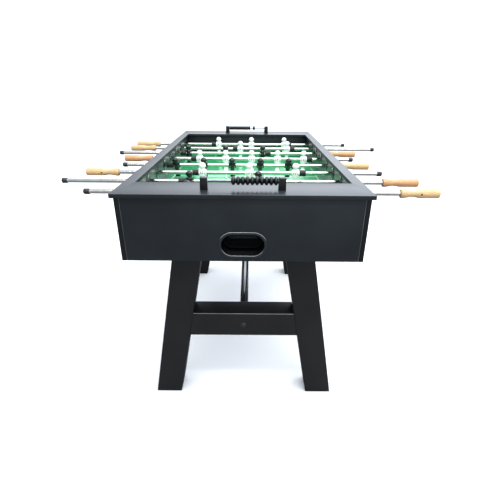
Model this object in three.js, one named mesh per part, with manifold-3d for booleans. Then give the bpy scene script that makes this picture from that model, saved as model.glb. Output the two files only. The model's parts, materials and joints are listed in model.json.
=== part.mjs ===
// A foosball table: a panelled cabinet on two splayed leg frames, with eight rods of men.
// Millimetres, +Z up. X runs along the rods, Y along the field, and the origin is on the
// floor below the table's centre. The front end of the table is at -Y.
import * as THREE from "three";
import { mergeVertices } from "three/addons/utils/BufferGeometryUtils.js";
import Module from "manifold-3d";

const wasm = await Module();
wasm.setup();

// Overall
const tableWidth = 766;
const tableLength = 1400;
const tableHeight = 890;
const joinGap = 0.3;

// Top frame
const frameThickness = 13;
const frameOverhang = 9;
const sideRailWidth = 38;
const endRailWidth = 139;

// Cabinet
const cabinetDepth = 202;
const panelThickness = 15;
const baseThickness = 9;
const fieldThickness = 12;
const goalWallInset = 113;
const goalWidth = 200;
const goalHeight = 62;

// Board behind each goal that rolls the ball down to the return cup
const rampThickness = 9;
const rampTopDrop = 5;
const rampFall = 38;
const rampCupGap = 3;

// Ball return cup in each end panel, a round-ended slot with a rim outside
const returnWidth = 140;
const returnHeight = 83;
const returnLift = 53;
const cupDepth = 60;
const cupWall = 3;
const rimWidth = 4;
const rimProud = 3;
const inletWidth = 90;
const inletHeight = 40;

// Leg frames
const legWidth = 102;
const legDepth = 86;
const legSplay = THREE.MathUtils.degToRad(10.05);
const legSpread = 278;
const legInset = 143;
const crossbarBottom = 289;
const crossbarHeight = 99;
const stretcherRadius = 17.5;

// Rods, and what is fixed on them
const rodDrop = 49.5;
const rodRadius = 7.95;
const rodWall = 1.6;
const rodClearance = 0.5;
const roundSides = 10;
const bushFlangeWidth = 12;
const bushFlangeThickness = 3;
const bushHubWall = 3.1;
const bushHubLength = 8;
const bumperWall = 5;
const bumperLength = 25;
const stopGap = 0.5;
const capWall = 2;
const capLength = 20;
const capFloor = 8;
const capRound = 3;
const capClearance = 19;

// Handles
const handleLength = 132;
const handleClearance = 27;
const handleBoreDepth = 118;
const handleBoreSpare = 2;
const handleEndWall = 3.6;
const handleCollarWall = 6.8;
const handleNeckWall = 2.7;
const handleGripWall = 6.3;

// Men
const manWidth = 32;
const manHeadRadius = 12.5;
const manHeadTop = 43;
const manReach = 60;
const footClearance = 5;
const footWidth = 22;
const footLength = 24;
const footHeight = 14;
const manHubWall = 4.1;

// Score counters
const standSpacing = 233;
const standInset = 60;
const postWidth = 23;
const postDepth = 20;
const postHeight = 37;
const wireRadius = 3;
const wireHeight = 26;
const beadRadius = 13;
const beadClearance = 1;
const beadEdgeWall = 4;
const beadPitch = 14;
const stackedBeads = 9;
const frontBeadGap = 0;
const backBeadGap = 14;

// The rods from the front end to the back. travel is the slide each way from the middle,
// rest is where the rod stands, as a share of its travel, and tilt is how far its men lean.
const goalie = { men: 3, travel: 120 };
const defence = { men: 2, travel: 182 };
const midfield = { men: 5, travel: 62 };
const attack = { men: 3, travel: 120 };
const rods = [
  { name: "black_goalie", ...goalie, side: 1, rest: 0, tilt: 0 },
  { name: "black_defence", ...defence, side: 1, rest: -0.42, tilt: 0 },
  { name: "white_attack", ...attack, side: -1, rest: 0.14, tilt: 0 },
  { name: "black_midfield", ...midfield, side: 1, rest: -0.94, tilt: 30 },
  { name: "white_midfield", ...midfield, side: -1, rest: 0.45, tilt: 0 },
  { name: "black_attack", ...attack, side: 1, rest: -0.875, tilt: 0 },
  { name: "white_defence", ...defence, side: -1, rest: 0.52, tilt: 0 },
  { name: "white_goalie", ...goalie, side: -1, rest: 0.23, tilt: 0 },
];

// Places that follow from the sizes above
const panelTop = tableHeight - frameThickness;
const panelBottom = panelTop - cabinetDepth;
const sideOuter = tableWidth / 2 - frameOverhang;
const sideInner = sideOuter - panelThickness;
const endOuter = tableLength / 2 - frameOverhang;
const endInner = endOuter - panelThickness;
const goalWallOuter = tableLength / 2 - goalWallInset;
const goalWallInner = goalWallOuter - panelThickness;
const boardHalfWidth = sideInner - joinGap;
const rodHeight = tableHeight - rodDrop;
const rodPitch = (2 * goalWallInner) / rods.length;
const fieldTop = rodHeight - manReach - footClearance;
const boreRadius = (rodRadius + rodClearance) / Math.cos(Math.PI / roundSides);
const bushHubRadius = boreRadius + bushHubWall;
const hubRadius = boreRadius + manHubWall;
const baseTop = panelBottom + baseThickness;
const legFront = tableLength / 2 - legInset;
const legBack = legFront - legDepth;

const laminate = new THREE.MeshStandardMaterial({ color: 0x25282b, roughness: 0.45 });
const frameLaminate = new THREE.MeshStandardMaterial({ color: 0x2b2f33, roughness: 0.3 });
const fieldGreen = new THREE.MeshStandardMaterial({ color: 0x1f9a45, roughness: 0.4 });
const blackPlastic = new THREE.MeshStandardMaterial({ color: 0x17181a, roughness: 0.4 });
const whitePlastic = new THREE.MeshStandardMaterial({ color: 0xeef0f0, roughness: 0.3 });
const chromedSteel = new THREE.MeshStandardMaterial({
  color: 0xc4c7ca, roughness: 0.15, metalness: 1,
});
const paintedSteel = new THREE.MeshStandardMaterial({ color: 0x1b1d1f, roughness: 0.25 });
const maple = new THREE.MeshStandardMaterial({ color: 0xd9a566, roughness: 0.5 });

const table = new THREE.Group();

function addMesh(parent, name, geometry, material, x = 0, y = 0, z = 0) {
  const mesh = new THREE.Mesh(geometry, material);
  mesh.name = name;
  mesh.position.set(x, y, z);
  parent.add(mesh);
  return mesh;
}

// A block from its lowest to its highest corner.
function block(low, high) {
  const size = high.map((value, axis) => value - low[axis]);
  const middle = high.map((value, axis) => (value + low[axis]) / 2);
  return new THREE.BoxGeometry(...size).translate(...middle);
}

function outline(points) {
  return new THREE.Shape(points.map(([a, b]) => new THREE.Vector2(a, b)));
}

// An outline in X and Z, pushed along Y and centred on it.
function pushedAlongY(shape, depth, curveSegments = 6) {
  const options = { depth, bevelEnabled: false, curveSegments };
  const geometry = new THREE.ExtrudeGeometry(shape, options);
  return geometry.translate(0, 0, -depth / 2).rotateX(Math.PI / 2);
}

// An outline in Y and Z, pushed along X and centred on it.
function pushedAlongX(shape, depth) {
  const geometry = new THREE.ExtrudeGeometry(shape, { depth, bevelEnabled: false });
  return geometry.translate(0, 0, -depth / 2).rotateX(Math.PI / 2).rotateZ(Math.PI / 2);
}

// A body turned about X from [radius, x] points, up its outside and back down its bore.
function turned(profile) {
  const points = profile.map(([radius, along]) => new THREE.Vector2(radius, along));
  return new THREE.LatheGeometry(points, roundSides).rotateZ(-Math.PI / 2);
}

// A geometry as a solid that can be joined and cut.
function solid(source) {
  const bare = new THREE.BufferGeometry();
  bare.setAttribute("position", source.getAttribute("position").clone());
  bare.setIndex(source.index);
  const merged = mergeVertices(bare);
  const corners = Array.from(merged.index.array);
  const kept = [];
  for (let at = 0; at < corners.length; at += 3) {
    const [a, b, c] = corners.slice(at, at + 3);
    if (a !== b && b !== c && c !== a) kept.push(a, b, c);
  }
  const vertProperties = new Float32Array(merged.getAttribute("position").array);
  const triVerts = new Uint32Array(kept);
  return new wasm.Manifold(new wasm.Mesh({ numProp: 3, vertProperties, triVerts }));
}

function geometryOf(body) {
  const { vertProperties, triVerts } = body.getMesh();
  const geometry = new THREE.BufferGeometry();
  geometry.setAttribute("position", new THREE.BufferAttribute(vertProperties, 3));
  geometry.setIndex(new THREE.BufferAttribute(triVerts, 1));
  geometry.computeVertexNormals();
  return geometry;
}

// A slot with round ends, centred on the origin, with arcs for its ends.
function slot(width, height) {
  const radius = height / 2;
  const centre = width / 2 - radius;
  const shape = new THREE.Shape();
  shape.absarc(centre, 0, radius, -Math.PI / 2, Math.PI / 2, false);
  shape.absarc(-centre, 0, radius, Math.PI / 2, (3 * Math.PI) / 2, false);
  shape.closePath();
  return shape;
}

// Top frame: one board's thickness, the mitred rails glued up around the opening.
function topFrame() {
  const x = tableWidth / 2;
  const y = tableLength / 2;
  const openX = x - sideRailWidth;
  const openY = y - endRailWidth;
  const shape = outline([[-x, -y], [x, -y], [x, y], [-x, y]]);
  shape.holes.push(outline([[-openX, -openY], [-openX, openY], [openX, openY], [openX, -openY]]));
  const options = { depth: frameThickness - joinGap, bevelEnabled: false };
  const geometry = new THREE.ExtrudeGeometry(shape, options);
  addMesh(table, "top_frame", geometry, frameLaminate, 0, 0, panelTop + joinGap);
}

// Side panels, each with its eight rod bushes fitted. A bush is a flanged hub on both faces.
function sidePanels() {
  const hub = panelThickness / 2 + bushHubLength;
  const flange = panelThickness / 2 + bushFlangeThickness;
  const flangeRadius = bushHubRadius + bushFlangeWidth;
  const bush = solid(turned([
    [0, -hub], [bushHubRadius, -hub], [bushHubRadius, -flange], [flangeRadius, -flange],
    [flangeRadius, flange], [bushHubRadius, flange], [bushHubRadius, hub], [0, hub],
  ]));
  const bore = solid(turned([
    [0, -hub - 1], [boreRadius, -hub - 1], [boreRadius, hub + 1], [0, hub + 1],
  ]));
  let panel = solid(block(
    [-panelThickness / 2, -endOuter, panelBottom],
    [panelThickness / 2, endOuter, panelTop],
  ));
  rods.forEach((rod, index) => {
    const place = [0, rodY(index), rodHeight];
    panel = panel.add(bush.translate(place)).subtract(bore.translate(place));
  });
  const geometry = geometryOf(panel);
  const middle = sideOuter - panelThickness / 2;
  addMesh(table, "side_panel_left", geometry, laminate, -middle);
  addMesh(table, "side_panel_right", geometry, laminate, middle);
}

function rodY(index) {
  return (index - (rods.length - 1) / 2) * rodPitch;
}

// End panels, each with its return cup: the cup is open in front, and at the top of its
// back, where the ball rolls in. Built facing -Y.
function endPanels() {
  const height = panelBottom + returnLift;
  const panel = solid(block(
    [-boardHalfWidth, -endOuter, panelBottom],
    [boardHalfWidth, -endInner, panelTop],
  ));
  const placed = (shape, from, to) => {
    const push = pushedAlongY(shape, to - from);
    return solid(push.translate(0, (from + to) / 2, height));
  };
  const rim = placed(
    slot(returnWidth + 2 * rimWidth, returnHeight + 2 * rimWidth),
    -endOuter - rimProud,
    -endInner,
  );
  const shell = placed(slot(returnWidth, returnHeight), -endInner - 1, -endOuter + cupDepth);
  const inside = placed(
    slot(returnWidth - 2 * cupWall, returnHeight - 2 * cupWall),
    -endOuter - rimProud - 1,
    -endOuter + cupDepth - cupWall,
  );
  const inletTop = height + returnHeight / 2 - cupWall;
  const inlet = solid(block(
    [-inletWidth / 2, -endOuter + cupDepth - 2 * cupWall, inletTop - inletHeight],
    [inletWidth / 2, -endOuter + cupDepth + 1, inletTop],
  ));
  const geometry = geometryOf(panel.add(rim).add(shell).subtract(inside).subtract(inlet));
  addMesh(table, "end_panel_front", geometry, laminate);
  const back = addMesh(table, "end_panel_back", geometry, laminate);
  back.rotation.z = Math.PI;
}

// Goal walls: the inner end walls of the field, with the goal mouth and, behind it, the
// sloping board that rolls the ball to the cup. Built at the -Y end.
function goalWalls() {
  const wall = solid(block(
    [-boardHalfWidth, -goalWallOuter, baseTop + joinGap],
    [boardHalfWidth, -goalWallInner, panelTop],
  ));
  const mouth = solid(block(
    [-goalWidth / 2, -goalWallOuter - 1, fieldTop],
    [goalWidth / 2, -goalWallInner + 1, fieldTop + goalHeight],
  ));
  const rampStart = fieldTop - rampTopDrop;
  const rampEnd = -endOuter + cupDepth + rampCupGap;
  const ramp = solid(pushedAlongX(outline([
    [-goalWallOuter + 1, rampStart],
    [rampEnd, rampStart - rampFall],
    [rampEnd, rampStart - rampFall - rampThickness],
    [-goalWallOuter + 1, rampStart - rampThickness],
  ]), goalWidth));
  const geometry = geometryOf(wall.subtract(mouth).add(ramp));
  addMesh(table, "goal_wall_front", geometry, laminate);
  const back = addMesh(table, "goal_wall_back", geometry, laminate);
  back.rotation.z = Math.PI;
}

// The field board between the goal walls, and the board that closes the cabinet's bottom.
function boards() {
  const fieldHalfLength = goalWallInner - joinGap;
  const field = block(
    [-boardHalfWidth, -fieldHalfLength, fieldTop - fieldThickness],
    [boardHalfWidth, fieldHalfLength, fieldTop],
  );
  addMesh(table, "playfield", field, fieldGreen);
  const baseHalfLength = endInner - joinGap;
  const base = block(
    [-boardHalfWidth, -baseHalfLength, panelBottom],
    [boardHalfWidth, baseHalfLength, baseTop],
  );
  addMesh(table, "cabinet_base", base, laminate);
}

// Leg frames: two splayed legs glued to the crossbar between them, cut level at the floor,
// and the round tube that joins the two crossbars at their middles.
function legFrames() {
  const legTop = panelBottom - joinGap;
  const innerAt = (z) => legSpread / 2 + (legTop - z) * Math.tan(legSplay);
  const outerAt = (z) => innerAt(z) + legWidth;
  const crossbarTop = crossbarBottom + crossbarHeight;
  const rightSide = [
    [innerAt(crossbarTop), crossbarTop],
    [innerAt(legTop), legTop],
    [outerAt(legTop), legTop],
    [outerAt(0), 0],
    [innerAt(0), 0],
    [innerAt(crossbarBottom), crossbarBottom],
  ];
  const leftSide = rightSide.map(([x, z]) => [-x, z]).reverse();
  const geometry = pushedAlongY(outline([...rightSide, ...leftSide]), legDepth);
  const middle = (legFront + legBack) / 2;
  addMesh(table, "leg_frame_front", geometry, laminate, 0, -middle);
  addMesh(table, "leg_frame_back", geometry, laminate, 0, middle);

  const stretcherHalf = legBack - joinGap;
  const stretcher = turned([
    [0, -stretcherHalf], [stretcherRadius, -stretcherHalf],
    [stretcherRadius, stretcherHalf], [0, stretcherHalf],
  ]).rotateZ(Math.PI / 2);
  const crossbarMiddle = crossbarBottom + crossbarHeight / 2;
  addMesh(table, "stretcher", stretcher, paintedSteel, 0, 0, crossbarMiddle);
}

// One man about the rod's axis, facing +Y and -Y alike: the front and side outlines cross
// each other, a round head stands on top, and the rod's bore goes through the hub.
function manGeometry() {
  const half = manWidth / 2;
  const footHalf = footWidth / 2;
  const footTop = -manReach + footHeight;
  const headHeight = manHeadTop - manHeadRadius;
  const neck = headHeight - 0.9 * manHeadRadius;
  const front = outline([
    [-footHalf, -manReach], [footHalf, -manReach], [footHalf, -hubRadius - 8],
    [half - 2, -hubRadius], [half, 0], [half, neck - 6], [half - 5, neck],
    [5 - half, neck], [-half, neck - 6], [-half, 0],
    [2 - half, -hubRadius], [-footHalf, -hubRadius - 8],
  ]);
  const sideOutline = outline([
    [-footLength / 2, -manReach], [footLength / 2, -manReach],
    [footLength / 2 - 3, footTop], [6, footTop + 5], [8, -hubRadius - 2],
    [hubRadius, -6], [hubRadius, 6], [9, neck],
    [-9, neck], [-hubRadius, 6], [-hubRadius, -6],
    [-8, -hubRadius - 2], [-6, footTop + 5], [3 - footLength / 2, footTop],
  ]);
  const body = solid(pushedAlongY(front, 2 * footLength))
    .intersect(solid(pushedAlongX(sideOutline, 2 * manWidth)));
  const head = solid(new THREE.SphereGeometry(manHeadRadius, 8, 6).rotateX(Math.PI / 2))
    .translate([0, 0, headHeight]);
  const bore = solid(turned([
    [0, -manWidth], [boreRadius, -manWidth], [boreRadius, manWidth], [0, manWidth],
  ]));
  return geometryOf(body.add(head).subtract(bore));
}

// A turned grip: rounded collar by the table, waisted neck, straight body, chamfered end.
function handleGeometry() {
  const collar = boreRadius + handleCollarWall;
  const neck = boreRadius + handleNeckWall;
  const grip = boreRadius + handleGripWall;
  return turned([
    [boreRadius, 0], [boreRadius + handleEndWall, 0], [collar, 4], [collar, 10],
    [neck + 1.5, 24], [neck, 42], [neck + 1.5, 54],
    [grip, 70], [grip, handleLength - 7], [grip - 2, handleLength],
    [0, handleLength], [0, handleBoreDepth], [boreRadius, handleBoreDepth], [boreRadius, 0],
  ]);
}

// One rod with its men, handle, bumpers and end cap. The tube is open inside the handle.
function addRod(rod, index, manShape, handleShape) {
  const bushFace = sideInner - bushHubLength;
  const outerBushFace = sideOuter + bushHubLength;
  const halfSpan = bushFace - rod.travel - stopGap - bumperLength - joinGap - manWidth / 2;
  const bumperStart = halfSpan + manWidth / 2 + joinGap;
  const bumperEnd = bumperStart + bumperLength;
  const handleStart = outerBushFace + rod.travel + handleClearance;
  const tubeEnd = handleStart + handleBoreDepth - handleBoreSpare;
  const capStart = -(outerBushFace + rod.travel + capClearance);
  const capEnd = capStart - capLength;
  const capRadius = rodRadius + capWall;
  const bumperRadius = rodRadius + bumperWall;
  const tube = turned([
    [0, capEnd], [capRadius - capRound, capEnd], [capRadius, capEnd + capRound],
    [capRadius, capStart], [rodRadius, capStart],
    [rodRadius, -bumperEnd], [bumperRadius, -bumperEnd],
    [bumperRadius, -bumperStart], [rodRadius, -bumperStart],
    [rodRadius, bumperStart], [bumperRadius, bumperStart],
    [bumperRadius, bumperEnd], [rodRadius, bumperEnd],
    [rodRadius, tubeEnd], [rodRadius - rodWall, tubeEnd],
    [rodRadius - rodWall, capEnd + capFloor], [0, capEnd + capFloor],
  ]);
  const plastic = rod.name.startsWith("white") ? whitePlastic : blackPlastic;

  const assembly = new THREE.Group();
  assembly.position.set(rod.rest * rod.travel, rodY(index), rodHeight);
  table.add(assembly);

  const shaft = new THREE.Group();
  shaft.rotation.z = rod.side > 0 ? 0 : Math.PI;
  assembly.add(shaft);
  addMesh(shaft, `${rod.name}_rod`, tube, chromedSteel);
  addMesh(shaft, `${rod.name}_handle`, handleShape, maple, handleStart);

  const team = new THREE.Group();
  team.rotation.x = THREE.MathUtils.degToRad(rod.tilt);
  assembly.add(team);
  for (let man = 0; man < rod.men; man += 1) {
    const x = -halfSpan + (2 * halfSpan * man) / (rod.men - 1);
    addMesh(team, `${rod.name}_man_${man + 1}`, manShape, plastic, x);
  }
}

// A row of beads about X, each a double cone, threaded on one bore.
function beadRow(count) {
  const start = (-count * beadPitch) / 2;
  const bore = wireRadius + beadClearance;
  const edge = bore + beadEdgeWall;
  const profile = [[bore, start]];
  for (let bead = 0; bead < count; bead += 1) {
    const from = start + bead * beadPitch;
    profile.push([edge, from], [beadRadius, from + beadPitch / 2]);
  }
  profile.push([edge, -start], [bore, -start], [bore, start]);
  return turned(profile);
}

// One score counter: two posts, the wire between them, nine beads together and one apart.
// side is the post that the nine beads stand against, and gap parts them from the tenth.
function addCounter(end, y, side, gap) {
  const reach = standSpacing / 2;
  const wire = solid(turned([[0, -reach], [wireRadius, -reach], [wireRadius, reach], [0, reach]]));
  const stand = [-reach, reach].reduce((body, x) => body.add(solid(block(
    [x - postWidth / 2, -postDepth / 2, joinGap],
    [x + postWidth / 2, postDepth / 2, postHeight],
  ))), wire.translate([0, 0, wireHeight]));
  addMesh(table, `score_stand_${end}`, geometryOf(stand), blackPlastic, 0, y, tableHeight);

  const stackLength = stackedBeads * beadPitch;
  const stackX = side * (reach - postWidth / 2 - joinGap - stackLength / 2);
  const singleX = stackX - side * (stackLength / 2 + joinGap + gap + beadPitch / 2);
  const z = tableHeight + wireHeight;
  addMesh(table, `score_beads_${end}`, beadRow(stackedBeads), blackPlastic, stackX, y, z);
  addMesh(table, `score_bead_${end}`, beadRow(1), blackPlastic, singleX, y, z);
}

topFrame();
sidePanels();
endPanels();
goalWalls();
boards();
legFrames();

const manShape = manGeometry();
const handleShape = handleGeometry();
rods.forEach((rod, index) => addRod(rod, index, manShape, handleShape));

const counterY = tableLength / 2 - standInset;
addCounter("front", -counterY, 1, frontBeadGap);
addCounter("back", counterY, -1, backBeadGap);

export default table;
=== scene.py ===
# Foosball table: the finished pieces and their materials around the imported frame.
# Metres, +Z up. X runs along the rods and Y along the field, with the front end at -Y.
import bpy
import bmesh
import json
import math
from mathutils import Matrix, Vector


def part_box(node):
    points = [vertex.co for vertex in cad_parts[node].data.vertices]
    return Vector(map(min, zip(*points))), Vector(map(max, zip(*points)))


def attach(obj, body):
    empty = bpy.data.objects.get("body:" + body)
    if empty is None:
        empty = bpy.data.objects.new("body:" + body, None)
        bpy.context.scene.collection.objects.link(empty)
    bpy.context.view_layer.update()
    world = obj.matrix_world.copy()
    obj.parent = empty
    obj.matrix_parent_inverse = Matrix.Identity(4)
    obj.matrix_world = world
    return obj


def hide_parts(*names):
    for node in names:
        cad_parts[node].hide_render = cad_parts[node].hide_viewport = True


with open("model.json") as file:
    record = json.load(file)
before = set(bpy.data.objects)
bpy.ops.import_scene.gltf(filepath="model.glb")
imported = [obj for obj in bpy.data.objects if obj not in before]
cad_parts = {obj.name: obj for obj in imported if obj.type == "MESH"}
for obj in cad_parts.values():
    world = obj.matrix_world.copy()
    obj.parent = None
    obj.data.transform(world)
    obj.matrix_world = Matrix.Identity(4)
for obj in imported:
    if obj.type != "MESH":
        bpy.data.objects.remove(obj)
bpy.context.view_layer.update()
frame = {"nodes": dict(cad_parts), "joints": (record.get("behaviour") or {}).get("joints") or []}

mm = 0.001
seat = 0.3 * mm  # the gap that touching pieces keep in the frame
joints = {joint["name"]: joint for joint in frame["joints"]}


# Handling of pieces.

def selectOnly(*pieces):
    bpy.ops.object.select_all(action="DESELECT")
    for piece in pieces:
        piece.select_set(True)
    bpy.context.view_layer.objects.active = pieces[-1]


def applyPlace(piece):
    selectOnly(piece)
    bpy.ops.object.transform_apply(location=True, rotation=True, scale=True)
    return piece


# Goes into edit mode with only the parts that pass the test selected.
def editParts(piece, kind, test):
    if bpy.context.mode != "EDIT_MESH":
        selectOnly(piece)
        bpy.ops.object.mode_set(mode="EDIT")
    bpy.ops.mesh.select_mode(type=kind)
    bpy.ops.mesh.select_all(action="DESELECT")
    cage = bmesh.from_edit_mesh(piece.data)
    parts = {"VERT": cage.verts, "EDGE": cage.edges, "FACE": cage.faces}[kind]
    for part in parts:
        if test(part):
            part.select_set(True)
    cage.select_flush_mode()
    bmesh.update_edit_mesh(piece.data)


def leaveEdit():
    bpy.ops.object.mode_set(mode="OBJECT")


def modify(piece, kind, **settings):
    selectOnly(piece)
    modifier = piece.modifiers.new("step", kind)
    for name, value in settings.items():
        setattr(modifier, name, value)
    bpy.ops.object.modifier_apply(modifier=modifier.name)
    return piece


def roundEdges(piece, width, segments=3, angle=30):
    return modify(piece, "BEVEL", width=width, segments=segments, limit_method="ANGLE",
                  angle_limit=math.radians(angle), harden_normals=False)


def smoothShade(piece, angle=35):
    selectOnly(piece)
    bpy.ops.object.shade_smooth_by_angle(angle=math.radians(angle))
    return piece


def cutWith(piece, cutter, operation="DIFFERENCE"):
    modify(piece, "BOOLEAN", operation=operation, object=cutter, solver="EXACT")
    bpy.data.objects.remove(cutter)
    return piece


def bevelEdges(piece, width, segments, test):
    editParts(piece, "EDGE", test)
    bpy.ops.mesh.bevel(offset=width, segments=segments, affect="EDGES")
    leaveEdit()


def joined(pieces):
    selectOnly(*pieces)
    bpy.ops.object.join()
    return bpy.context.object


# Turns that lay an upright cylinder along X or Y.
alongX = (0, math.pi / 2, 0)
alongY = (math.pi / 2, 0, 0)


# A round bar to cut with or to shape further.
def startRound(radius, length, place=(0, 0, 0), turn=alongX, sides=32):
    bpy.ops.object.select_all(action="DESELECT")
    bpy.ops.mesh.primitive_cylinder_add(vertices=sides, radius=radius, depth=length,
                                        location=place, rotation=turn)
    return applyPlace(bpy.context.object)


def startBlock(name, low, high):
    bpy.ops.object.select_all(action="DESELECT")
    low, high = Vector(low), Vector(high)
    bpy.ops.mesh.primitive_cube_add(size=1, location=(low + high) / 2, scale=high - low)
    piece = bpy.context.object
    piece.name = name
    return applyPlace(piece)


# A point is extruded along a closed [radius, x] outline, which is spun round the X axis.
# Points on the axis close the ends.
def startTurned(name, outline, sides=32):
    bpy.ops.object.select_all(action="DESELECT")
    bpy.ops.mesh.primitive_plane_add(size=1)
    piece = bpy.context.object
    piece.name = name
    editParts(piece, "VERT", lambda vertex: True)
    bpy.ops.mesh.merge(type="CENTER")
    points = [Vector((along, 0, radius)) for radius, along in outline]
    bpy.ops.transform.translate(value=points[0])
    for start, end in zip(points, points[1:] + points[:1]):
        bpy.ops.mesh.extrude_vertices_move(TRANSFORM_OT_translate={"value": end - start})
    bpy.ops.mesh.select_all(action="SELECT")
    bpy.ops.mesh.spin(steps=sides, angle=math.tau, center=(0, 0, 0), axis=(1, 0, 0))
    bpy.ops.mesh.select_all(action="SELECT")
    bpy.ops.mesh.remove_doubles(threshold=1e-6)
    bpy.ops.mesh.delete_loose(use_verts=True, use_edges=True, use_faces=False)
    bpy.ops.mesh.select_all(action="SELECT")
    bpy.ops.mesh.normals_make_consistent(inside=False)
    leaveEdit()
    return piece


# Moves a mesh, and turns its faces outwards again if the move mirrors it.
def moveMesh(piece, place):
    piece.data.transform(place)
    if place.determinant() < 0:
        piece.data.flip_normals()
    return piece


def copyOf(piece, name, place):
    twin = piece.copy()
    twin.data = piece.data.copy()
    twin.name = name
    bpy.context.collection.objects.link(twin)
    return moveMesh(twin, place)


# Gives a piece its material and the body it moves with, and hides the frame parts it stands in for.
def fit(piece, material, slot, body="cabinet", *nodes):
    piece.data.materials.clear()
    piece.data.materials.append(material)
    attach(piece, body)
    if nodes:
        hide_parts(*nodes)
    return piece


# Gives the faces of a fitted piece that pass the test another finish.
def secondFinish(piece, material, test):
    piece.data.materials.append(material)
    for face in piece.data.polygons:
        if test(face):
            face.material_index = len(piece.data.materials) - 1


shift = Matrix.Translation
halfTurn = Matrix.Rotation(math.pi, 4, "Z")


# Handling of materials.

def hexColour(code):
    channels = [int(code[at:at + 2], 16) / 255 for at in (0, 2, 4)]
    linear = [c / 12.92 if c <= 0.04045 else ((c + 0.055) / 1.055) ** 2.4 for c in channels]
    return (*linear, 1)


def grey(value):
    return (value, value, value, 1)


# Sets sockets by name or number: a node or socket is linked, and a value is set.
def feed(owner, node, sockets):
    for name, value in sockets.items():
        if isinstance(value, bpy.types.Node):
            value = value.outputs[0]
        if isinstance(value, bpy.types.NodeSocket):
            owner.node_tree.links.new(value, node.inputs[name])
        else:
            node.inputs[name].default_value = value


# Adds a node to a material or the world, with its sockets, its settings, and the stops of a
# colour ramp if it is one.
def addNode(owner, kind, sockets=None, stops=(), **settings):
    node = owner.node_tree.nodes.new("ShaderNode" + kind)
    for name, value in settings.items():
        setattr(node, name, value)
    for at, (position, colour) in enumerate(stops):
        elements = node.color_ramp.elements
        if 0 < at < len(stops) - 1:
            element = elements.new(position)
        else:
            element = elements[-1 if at else 0]
            element.position = position
        element.color = colour
    feed(owner, node, sockets or {})
    return node


def startMaterial(name, **values):
    material = bpy.data.materials.new(name)
    material.use_nodes = True
    shader = material.node_tree.nodes["Principled BSDF"]
    feed(material, shader, {socket.replace("_", " "): value for socket, value in values.items()})
    place = addNode(material, "TexCoord").outputs["Object"]
    return material, shader, place


# Melamine-faced board: paper foil pressed with a fine pebbled plate, so black with a soft
# satin sheen that breaks up a little from place to place.
def makeMelamine(name, colours, roughness, specular, coat=0.0):
    material, shader, place = startMaterial(
        name, IOR=1.5, Specular_IOR_Level=specular, Coat_Weight=coat, Coat_Roughness=0.1)
    cloud = addNode(material, "TexNoise", {"Vector": place, "Scale": 1 / (150 * mm), "Detail": 3})
    # The pebbles are drawn coarser than the real 0.3 mm, so that they show.
    pebble = addNode(material, "TexNoise", {"Vector": place, "Scale": 1 / (1.1 * mm), "Detail": 2})
    dark, light = colours
    feed(material, shader, {
        "Base Color": addNode(material, "ValToRGB", {0: cloud}, [
            (0.35, hexColour(dark)), (0.65, hexColour(light))]),
        "Roughness": addNode(material, "ValToRGB", {0: cloud}, [
            (0.3, grey(roughness * 0.9)), (0.7, grey(roughness * 1.12))]),
        "Normal": addNode(material, "Bump", {
            "Height": pebble, "Distance": 0.05 * mm, "Strength": 0.3}),
    })
    return material


cabinetMelamine = makeMelamine("cabinet_black_melamine", ("171b1e", "1c2124"), 0.42, 0.3)
legMelamine = makeMelamine("leg_black_melamine", ("181919", "1c1c1c"), 0.42, 0.3)
frameFilm = makeMelamine("frame_semi_gloss_film", ("1d2226", "23282d"), 0.28, 0.5)
# Lighter grey colour: painted reflection of the field in the walls' satin finish.
wallFilmPaintedReflection = makeMelamine("field_wall_film_painted_reflection", ("484f50", "51595a"), 0.3, 0.4)
# The front and back end faces of the side boards are drawn a darker, duller black than the board faces.
darkBoardEnd = makeMelamine("darker_black_board_end", ("0b0c0d", "0f1011"), 0.5, 0.25)
# Edges are drawn pale grey under a glossy coat: a painted highlight, so a rounded corner shows as a thin
# pale line.
paintedEdgeHighlight = makeMelamine("rubbed_black_edge", ("7e8285", "909497"), 0.25, 0.5, coat=1.0)


# Printed field: green ink and white lines on fibreboard under a clear film, so a flat
# bright colour with a smooth gloss and a trace of mottle in the ink.
fieldPrint = {
    "halfWidth": 332 * mm, "halfLength": 548 * mm, "line": 2.4 * mm, "circle": 92 * mm,
    "spot": 6 * mm, "penalty": (180 * mm, 150 * mm), "goalArea": (118 * mm, 66 * mm),
    "arc": 78 * mm, "arcCentre": 100 * mm, "corner": 24 * mm, "inks": ("20a45c", "33ba79"),
    "lineInk": "eef3ee",
}


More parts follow.
